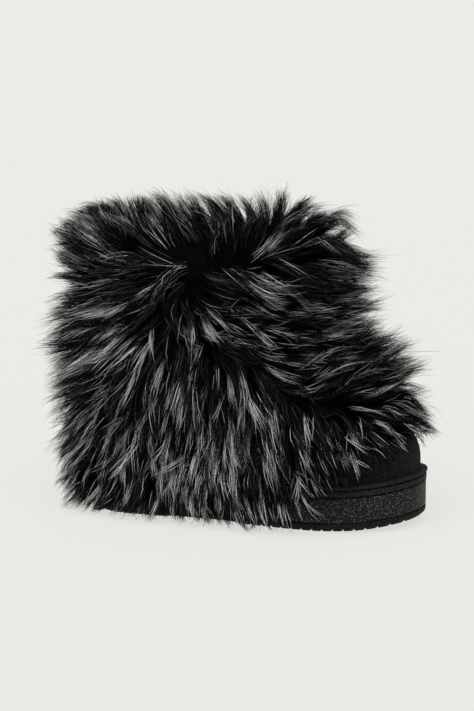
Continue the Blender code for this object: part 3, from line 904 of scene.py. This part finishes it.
pelt_mesh = ring_mesh("underfur", underfur_rings(), closed=True)
underfur_skin = grained_material(
    "underfur_black", 0.0018, 0.0050, {"Lumps": 300.0, "Fineness": 4.0, "Patches": 120.0},
    relief=0.002, strength=1.0, roughness=0.95, gloss=0.0)
add_piece("underfur", pelt_mesh, underfur_skin, "silver_tipped_fur", "fur_cover")

# %% [markdown]
# ## Locks of hair
#
# Real guard hairs stand in locks: neighbours lean together and meet near their tips. Blender's hair
# system could grow them, but its curves aren't meshes, and the finished part has to be a mesh. So each
# hair is a narrow ribbon of a few faces, tapered to a point. First come the roots of the locks, scattered
# over the pelt by area and kept a little apart from each other.

# %% Scattered roots
AREA_TURNS, AREA_SHARES = 144, 56
ROOT_DEPTH = 0.0065
ROOT_CROWN_RISE = 0.010
CROWN_DENSITY = 4.0
chance = np.random.default_rng(31)


def root_place(turn, share):
    return pelt_place(turn, share, ROOT_DEPTH * fullness(turn, np.minimum(share, 0.96)), ROOT_CROWN_RISE)


def scatter(count):
    """Places spread over the pelt by its area, and closer on the crown, as arrays of turn and share."""
    around = np.linspace(0.0, 2 * np.pi, AREA_TURNS + 1)
    shares = np.linspace(0.0, 1.0 + CROWN_SPAN, AREA_SHARES + 1)
    corner = root_place(around[:, None], np.broadcast_to(shares, (AREA_TURNS + 1, AREA_SHARES + 1)))[0]
    wide, high = corner[1:, :-1] - corner[:-1, :-1], corner[:-1, 1:] - corner[:-1, :-1]
    area = np.linalg.norm(np.cross(wide, high), axis=-1)
    area[:, shares[1:] > 1.0] *= CROWN_DENSITY
    area = area.ravel()
    picked = np.searchsorted(np.cumsum(area) / area.sum(), chance.random(count))
    column, row = np.divmod(np.minimum(picked, area.size - 1), AREA_SHARES)
    turn = (column + chance.random(count)) / AREA_TURNS * 2 * np.pi
    return turn, (row + chance.random(count)) / AREA_SHARES * (1.0 + CROWN_SPAN)


def nearest(points, found):
    """For each found place, the index of the nearest of the points."""
    tree = KDTree(len(points))
    for index, point in enumerate(points):
        tree.insert(point, index)
    tree.balance()
    return np.array([tree.find(place)[1] for place in found])


def spaced_out(turn, share, gap):
    """Drops each place that lies too near to one that was kept."""
    place = root_place(turn, share)[0]
    cells = {}
    kept = []
    for index, point in enumerate(place):
        home = tuple((point // gap).astype(int))
        near = [other for x in (-1, 0, 1) for y in (-1, 0, 1) for z in (-1, 0, 1)
                for other in cells.get((home[0] + x, home[1] + y, home[2] + z), ())]
        if all(((place[other] - point) ** 2).sum() > gap * gap for other in near):
            cells.setdefault(home, []).append(index)
            kept.append(index)
    return turn[kept], share[kept]


LOCK_GAP, LOCK_TRIES = 0.0054, 16000
lock_turn, lock_share = spaced_out(*scatter(LOCK_TRIES), LOCK_GAP)
print("locks:", len(lock_turn))

# %% [markdown]
# Each lock has a middle line. It rises from the pelt and bends over in the brushed direction of the place
# that it has reached, so the flow of the fur turns along it. On the crown and over the toe the locks lie
# flatter. A line that would run into the floor is made shorter.

# %% Middle lines of the locks
HAIR_LENGTH = 0.052
GUIDE_STEPS = 12
ROOT_LIFT, TIP_LIFT = 1.00, 0.22
ROOT_LEAN, TIP_LEAN = 0.35, 1.00
SIDE_FAN = 0.30
CROWN_LEAN, TOE_LEAN = 0.30, 0.48
WANDER, CURL = 0.15, 0.30
TIP_FLOOR = 0.0022


def grown_lines(root, out, length, wander, curl):
    """Curves that rise out of the pelt and bend over in the brushed direction of where they are."""
    line = np.empty((len(root), GUIDE_STEPS + 1, 3))
    line[:, 0] = root
    hang = 1 - 0.5 * (1 - smooth_step(0.015, 0.085, root[:, 2:]))
    hang = hang * (1 - CROWN_LEAN * smooth_step(0.204, 0.212, root[:, 2:]))
    over_toe = smooth_step(0.185, 0.215, root[:, :1]) * (1 - smooth_step(0.090, 0.115, root[:, 2:]))
    hang = hang * (1 - TOE_LEAN * over_toe)
    for step in range(GUIDE_STEPS):
        bent = smooth_step(0.0, 0.75, (step + 0.5) / GUIDE_STEPS)
        brushed = combed(line[:, step])
        brushed[:, 1] += SIDE_FAN * out[:, 1]
        into = np.minimum((brushed * out).sum(1), 0.0)
        brushed = brushed - out * into[:, None] + wander + curl * (step / GUIDE_STEPS)
        brushed /= np.maximum(np.linalg.norm(brushed, axis=1, keepdims=True), 0.5)
        lift = (ROOT_LIFT + (TIP_LIFT - ROOT_LIFT) * bent) * hang
        lean = ROOT_LEAN + (TIP_LEAN - ROOT_LEAN) * bent
        heading = out * lift + brushed * lean
        heading /= np.linalg.norm(heading, axis=1, keepdims=True)
        line[:, step + 1] = line[:, step] + heading * (length / GUIDE_STEPS)[:, None]
    return line


def lines_off_the_floor(root, out, length, wander, curl):
    """The curves and their lengths, with those shortened that would run along the floor."""
    drop = root[:, 2] - grown_lines(root, out, length, wander, curl)[:, -1, 2]
    room = root[:, 2] - TIP_FLOOR
    length = length * np.clip(room / np.maximum(drop, 1e-6), 0.25, 1.0)
    return grown_lines(root, out, length, wander, curl), length


lock_root, lock_out = root_place(lock_turn, lock_share)
lock_length = HAIR_LENGTH * fullness(lock_turn, lock_share)
lock_length = lock_length * chance.uniform(0.80, 1.12, len(lock_turn))
lock_wander = chance.normal(scale=WANDER, size=(len(lock_turn), 3))
lock_curl = chance.normal(scale=CURL, size=(len(lock_turn), 3))
lock_lines, lock_length = lines_off_the_floor(lock_root, lock_out, lock_length, lock_wander, lock_curl)
print("shortest and longest lock in mm:", np.round([lock_length.min() * 1000, lock_length.max() * 1000]))

# %% [markdown]
# The silver isn't even. Some locks carry many silver hairs and the rest hardly any. In a few places where
# shade falls, such as the pit of the whorl and under the parting on the instep, there is almost none, so
# the shade there is painted. They are listed as round voids seen from the side.

# %% Which locks are silver
ShadedVoid = namedtuple("ShadedVoid", "x height radius")
SHADED_VOIDS = (
    ShadedVoid(0.088, 0.208, 0.022), ShadedVoid(0.072, 0.188, 0.014), ShadedVoid(0.046, 0.168, 0.013),
    ShadedVoid(0.064, 0.136, 0.011), ShadedVoid(0.128, 0.116, 0.012), ShadedVoid(0.150, 0.105, 0.016),
    ShadedVoid(0.172, 0.098, 0.014), ShadedVoid(0.190, 0.104, 0.014), ShadedVoid(0.146, 0.028, 0.011),
    ShadedVoid(0.190, 0.036, 0.018), ShadedVoid(0.098, 0.136, 0.012), ShadedVoid(0.112, 0.125, 0.010),
    ShadedVoid(0.060, 0.182, 0.012), ShadedVoid(0.154, 0.206, 0.013), ShadedVoid(0.172, 0.224, 0.018),
)


def shaded_void_weight(points):
    """Painted shade: 1 in the middle of a shaded void in the silver, and 0 away from all of them."""
    dark = np.zeros(len(points))
    for void in SHADED_VOIDS:
        distance = np.hypot(points[:, 0] - void.x, points[:, 2] - void.height)
        dark = np.maximum(dark, 1 - smooth_step(0.6 * void.radius, 1.3 * void.radius, distance))
    return dark


lock_shaded = shaded_void_weight(lock_lines[:, GUIDE_STEPS * 2 // 3])
patches = 0.5 + 0.5 * lumps(lock_lines[:, 0], 150.0, 9)
# Painted shade: few silver locks in the shaded voids.
silver_chance = (0.20 + 0.21 * patches) * (1 - 0.95 * lock_shaded)
lock_silver = chance.random(len(lock_turn)) < silver_chance
print("silver locks:", int(lock_silver.sum()))

# %% [markdown]
# A furrier trims the finished boot, so its outline is closer than loose hair would be. Cutting every
# ribbon at a line would leave blunt ends. Instead, what stands past the line is drawn in by a little
# more than half, at the top, the back, the toe and the sides. Stray hairs get some slack.

# %% Trimming
TRIM_KEPT = 0.42
TRIM_SIDE, TRIM_TOE = 0.110, 0.243
TRIM_TOP_LINE = ((-0.062, 0.224), (-0.045, 0.240), (0.0, 0.246),
                 (0.130, 0.247), (0.160, 0.240), (0.181, 0.204))
TRIM_HEEL_LINE = ((0.050, 0.066), (0.120, 0.074), (0.165, 0.072), (0.210, 0.061))


def held_back(value, limit):
    """The same value up to a limit, and only a part of what is past it."""
    return np.minimum(value, limit) + TRIM_KEPT * np.maximum(value - limit, 0.0)


def trimmed(points, slack):
    """Hair held back at the top, the back, the toe and the sides. Slack lets it reach further."""
    top = np.interp(points[..., 0], *np.transpose(TRIM_TOP_LINE)) + slack
    heel = np.interp(points[..., 2], *np.transpose(TRIM_HEEL_LINE)) + slack
    side = np.sign(points[..., 1]) * held_back(np.abs(points[..., 1]), TRIM_SIDE + slack)
    along = held_back(-held_back(-points[..., 0], heel), TRIM_TOE + slack)
    return np.stack([along, side, held_back(points[..., 2], top)], axis=-1)


crown_points = np.array([[0.05, 0.0, 0.270], [0.05, 0.130, 0.200]])
print("places in mm, trimmed:", np.round(trimmed(crown_points, 0.0) * 1000, 1).tolist())

# %% [markdown]
# Each hair starts at its own root and is pulled towards the middle line of its lock, more and more
# towards the tip. The silver hairs of a silver lock keep closer together from the root on, and all silver
# hairs lie a little on top of the black ones. That makes the light wisps. A few wild hairs leave their
# lock.

# %% Hairs of the locks
WISP_CLOSENESS = 0.46
SILVER_LIFT = 0.0026
SILVER_SHARE, SILVER_ELSEWHERE = 0.285, 0.025
SILVER_TINT, BLACK_TINT = (0.50, 1.0), (0.0, 0.038)
TINTS, LAST_BLACK_COLUMN = 16, 2
WAVE = 0.0012
STRAY, WILD_STRAY = 0.032, 4.0
LONGEST_REACH = 1.12
OFF_FLOOR, FLOOR_SPREAD = 0.0012, 0.0025


def hairs(count, steps, length_range, pull, silver, wildness=0.09, slack=0.0):
    """Single hairs: their points, the directions out of the pelt, tints and shares."""
    turn, share = scatter(count)
    root = root_place(turn, share)[0]
    lock = nearest(lock_lines[:, 0], root)
    silver_share = np.where(lock_silver[lock], SILVER_SHARE, SILVER_ELSEWHERE)
    # Painted shade: few silver hairs in the shaded voids.
    bright = chance.random(count) < silver_share * (1 - 0.9 * lock_shaded[lock]) * silver
    tint = np.where(bright, chance.uniform(*SILVER_TINT, count), chance.uniform(*BLACK_TINT, count))
    reach = chance.uniform(*length_range, count)
    at = np.linspace(0.0, 1.0, steps + 1)
    offset = root - lock_lines[lock, 0]
    points = np.empty((count, steps + 1, 3))
    crown = smooth_step(0.93, 1.02, share)[:, None]
    loose = 1 - 0.62 * crown
    gather = pull * chance.uniform(0.75, 1.1, (count, 1)) * loose
    close = (bright & lock_silver[lock])[:, None] * WISP_CLOSENESS * loose
    on_top = bright[:, None] * lock_out[lock] * SILVER_LIFT
    wave = chance.uniform(0, 2 * np.pi, (count, 1))
    side_way = chance.normal(size=(count, 3))
    wild = chance.random((count, 1)) < wildness
    stray = chance.normal(scale=STRAY, size=(count, 3)) * np.where(wild, WILD_STRAY, 1 + 0.9 * crown)
    for index, share_along in enumerate(at):
        place = np.minimum(share_along * reach, LONGEST_REACH) * GUIDE_STEPS
        low = np.minimum(place.astype(int), GUIDE_STEPS - 1)
        ahead = (place - low)[:, None]
        middle = lock_lines[lock, low] * (1 - ahead) + lock_lines[lock, low + 1] * ahead
        gathered = np.maximum(gather * share_along**1.25, close)
        bend = WAVE * share_along * np.sin(5.0 * share_along + wave) * side_way
        drift = stray * lock_length[lock, None] * share_along**1.6
        points[:, index] = middle + offset * (1 - gathered) + bend + drift + on_top * share_along
    lowest = OFF_FLOOR + FLOOR_SPREAD * chance.random((count, 1))
    points[:, :, 2] = np.maximum(points[:, :, 2], lowest)
    column = np.round(tint * (TINTS - 1)).astype(int)
    return trimmed(points, slack), lock_out[lock], column, share


# %% [markdown]
# Short dark hairs fill the fur between the locks, and long guard hairs carry the silver. A few long
# single hairs stand off from the rest.

# %% Grow the fur
GUARD_HAIRS = 90000
UNDER_HAIRS = 30000
SINGLE_HAIRS = 3600
guard = hairs(GUARD_HAIRS, 4, (0.70, 1.06), 0.82, True)
under = hairs(UNDER_HAIRS, 3, (0.45, 0.80), 0.40, False)
single = hairs(SINGLE_HAIRS, 5, (1.02, 1.22), 0.10, False, wildness=0.40, slack=0.004)
print("silver hairs:", int((guard[2] > LAST_BLACK_COLUMN).sum()), "of", GUARD_HAIRS)

# %% [markdown]
# A mesh can hold all the ribbons of a band at once. Adding faces one by one would take minutes, so the
# corners of all hairs are worked out as arrays and handed over in a few calls. Each corner also keeps
# the hair's tint and its place along the hair, as attributes for the material and as a map for export.

# %% Ribbons
SILVER_WIDTH, BLACK_WIDTH = 0.00038, 0.00044
TAPER = 0.75
ROLL = 0.9


def ribbons(name, points, out, tint):
    """A mesh with one tapered ribbon for each hair."""
    count, rows = points.shape[0], points.shape[1] - 1
    at = np.linspace(0.0, 1.0, rows + 1)
    heading = np.diff(points, axis=1)
    heading = np.concatenate([heading, heading[:, -1:]], axis=1)
    heading /= np.maximum(np.linalg.norm(heading, axis=2, keepdims=True), 1e-9)
    across = np.cross(heading, out[:, None])
    across /= np.maximum(np.linalg.norm(across, axis=2, keepdims=True), 1e-9)
    roll = chance.uniform(-ROLL, ROLL, (count, 1, 1))
    across = across * np.cos(roll) + np.cross(heading, across) * np.sin(roll)
    width = np.where(tint > LAST_BLACK_COLUMN, SILVER_WIDTH, BLACK_WIDTH)
    half = (width[:, None] / 2 * (1 - TAPER * at[:rows] ** 2))[..., None]
    left = points[:, :rows] - across[:, :rows] * half
    right_edge = points[:, :rows] + across[:, :rows] * half
    corners = np.stack([left, right_edge], axis=2).reshape(count, rows * 2, 3)
    vertices = np.concatenate([corners, points[:, rows:]], axis=1)
    per_hair = rows * 2 + 1
    quads = [(2 * k, 2 * k + 1, 2 * k + 3, 2 * k + 2) for k in range(rows - 1)]
    tip = [rows * 2 - 2, rows * 2 - 1, rows * 2]
    corner_order = np.array([corner for quad in quads for corner in quad] + tip)
    starts = np.arange(rows) * 4
    loops = (corner_order[None] + np.arange(count)[:, None] * per_hair).ravel()
    loop_starts = (starts[None] + np.arange(count)[:, None] * len(corner_order)).ravel()
    mesh = bpy.data.meshes.new(name)
    mesh.vertices.add(count * per_hair)
    mesh.vertices.foreach_set("co", vertices.ravel())
    mesh.loops.add(len(loops))
    mesh.loops.foreach_set("vertex_index", loops)
    mesh.polygons.add(len(loop_starts))
    mesh.polygons.foreach_set("loop_start", loop_starts)
    mesh.update(calc_edges=True)
    along = np.append(np.repeat(at[:rows], 2), 1.0)
    stored = {"tint": np.repeat(tint / (TINTS - 1), per_hair), "along": np.tile(along, count)}
    for attribute, values in stored.items():
        mesh.attributes.new(attribute, "FLOAT", "POINT").data.foreach_set("value", values)
    corner_side = np.append(np.tile([0.2, 0.8], rows), 0.5)[corner_order]
    u = (tint[:, None] + corner_side[None]) / TINTS
    v = np.broadcast_to(along[corner_order], u.shape)
    mesh.uv_layers.new(name="OFBake").data.foreach_set("uv", np.stack([u, v], axis=-1).ravel())
    mesh.validate()
    return mesh


# %% [markdown]
# ## The colour of a hair
#
# Each hair is black at the root and over its first third. The silver ones are light from the middle on
# and a little darker at the very tip. The group takes a hair's tint and the place along it, both stored
# on the mesh, and puts out the colour. All fur pieces share it.


# %% Silver tips as a node group
def make_tip_group():
    """Color: black from the root, then silver as far as the hair's tint says."""
    group = new_group(
        "silver_tips",
        (("Tint", "NodeSocketFloat", 0.5), ("Along", "NodeSocketFloat", 0.5),
         ("Black", "NodeSocketColor", (0.003, 0.003, 0.0034, 1.0)),
         ("Silver", "NodeSocketColor", (0.90, 0.89, 0.87, 1.0))),
        (("Color", "NodeSocketColor"),),
    )
    given = group.nodes.new("NodeGroupInput").outputs
    rises = []
    for low, high, start, end in ((0.28, 0.54, 0.0, 1.0), (0.90, 1.0, 1.0, 0.55)):
        rise = group.nodes.new("ShaderNodeMapRange")
        rise.interpolation_type = "SMOOTHSTEP"
        rise.inputs["From Min"].default_value = low
        rise.inputs["From Max"].default_value = high
        rise.inputs["To Min"].default_value = start
        rise.inputs["To Max"].default_value = end
        group.links.new(given["Along"], rise.inputs["Value"])
        rises.append(rise.outputs["Result"])
    tinted = combined(group, "MULTIPLY", combined(group, "MULTIPLY", *rises), given["Tint"])
    result = group.nodes.new("NodeGroupOutput").inputs
    group.links.new(blended(group, tinted, given["Black"], given["Silver"]), result["Color"])
    return group


def make_hair_material(name):
    material = bpy.data.materials.new(name)
    material.use_nodes = True
    nodes, links = material.node_tree.nodes, material.node_tree.links
    shader = nodes["Principled BSDF"]
    tips = nodes.new("ShaderNodeGroup")
    tips.node_tree = make_tip_group()
    for attribute, socket in (("tint", "Tint"), ("along", "Along")):
        stored = nodes.new("ShaderNodeAttribute")
        stored.attribute_name = attribute
        links.new(stored.outputs["Fac"], tips.inputs[socket])
    links.new(tips.outputs["Color"], shader.inputs["Base Color"])
    shader.inputs["Roughness"].default_value = 0.50
    shader.inputs["Specular IOR Level"].default_value = 0.03
    return material


hair_material = make_hair_material("silver_tipped_hair")
print("hair material:", hair_material.name)

# %% [markdown]
# ## The fur pieces
#
# One mesh of all the hairs would be too heavy to handle, so the fur is cut into bands from hem to collar,
# as a furrier joins strips of pelt. Each band holds the same share of the guard hairs.

# %% Bands of fur
BANDS = ("fur_skirt", "fur_ankle", "fur_instep", "fur_shaft", "fur_collar")


def add_band(name, low, high):
    """The long and the short hairs whose roots lie in one band of the skin, as one piece each."""
    for kind, (points, out, tint, share) in (("guard", guard), ("under", under)):
        inside = (share >= low) & (share < high)
        mesh = ribbons(name + "_" + kind, points[inside], out[inside], tint[inside])
        piece = add_piece(name + "_" + kind, mesh, hair_material, "silver_tipped_fur", "fur_cover")
        mesh.calc_loop_triangles()
        print(piece.name, "triangles:", len(mesh.loop_triangles))


edges = np.quantile(guard[3], np.linspace(0.0, 1.0, len(BANDS) + 1))
edges[0], edges[-1] = -1.0, 3.0
for band, low, high in zip(BANDS, edges[:-1], edges[1:]):
    add_band(band, low, high)
single_mesh = ribbons("fur_single_hairs", *single[:3])
add_piece("fur_single_hairs", single_mesh, hair_material, "silver_tipped_fur", "fur_cover")
